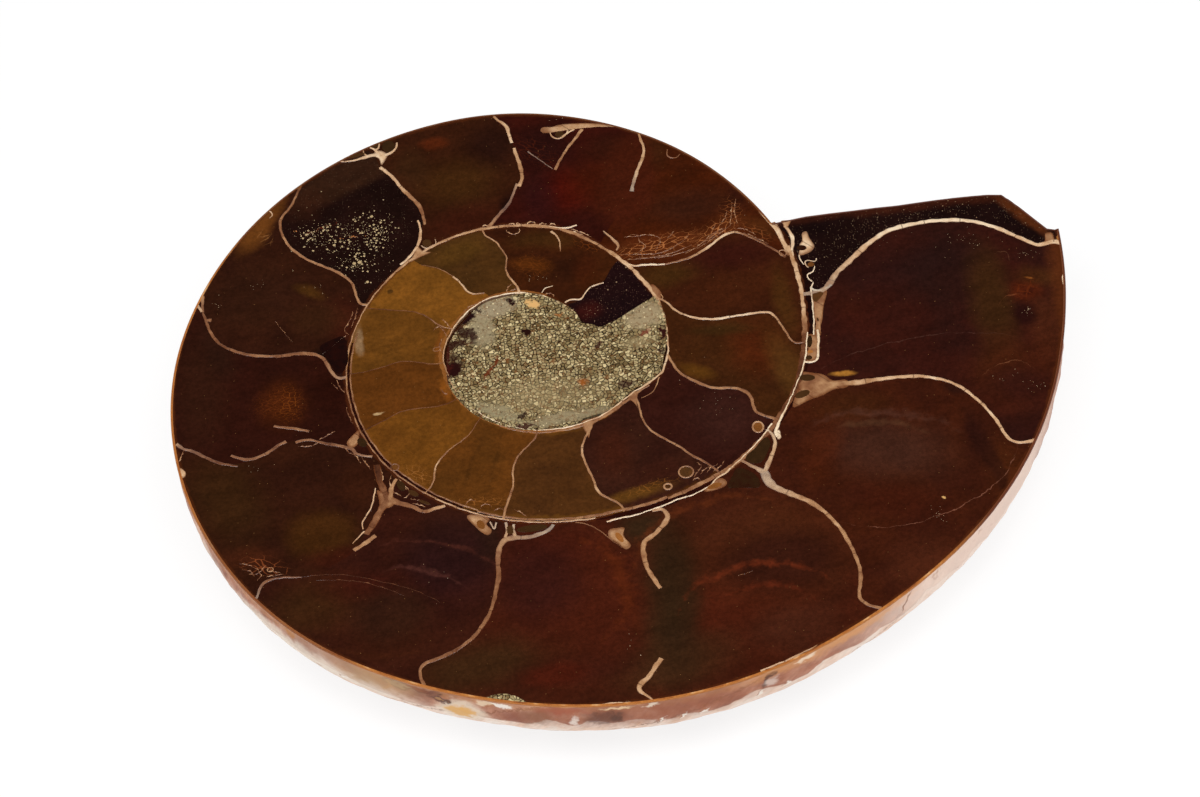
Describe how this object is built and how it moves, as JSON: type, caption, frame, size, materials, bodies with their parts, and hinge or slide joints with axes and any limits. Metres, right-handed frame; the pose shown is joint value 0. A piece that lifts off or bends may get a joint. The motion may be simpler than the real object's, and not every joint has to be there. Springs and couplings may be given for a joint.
{
  "type": "ammonite fossil",
  "caption": "Ammonite fossil half, sawn through the coil and polished, with walled chambers, a granular core and a broken mouth.",
  "frame": {"origin": "on the resting plane, below the middle of the outline's box", "axes": "+Z is the outward normal of the level sawn face, +X runs along the longest extent towards the broken mouth, +Y makes a right-handed frame"},
  "size_m": [0.1088, 0.0926, 0.0126],
  "materials": {
    "polished_fossil_stone": "polished"
  },
  "bodies": {
    "root": {"ammonite_half": "polished_fossil_stone"}
  },
  "joints": []
}
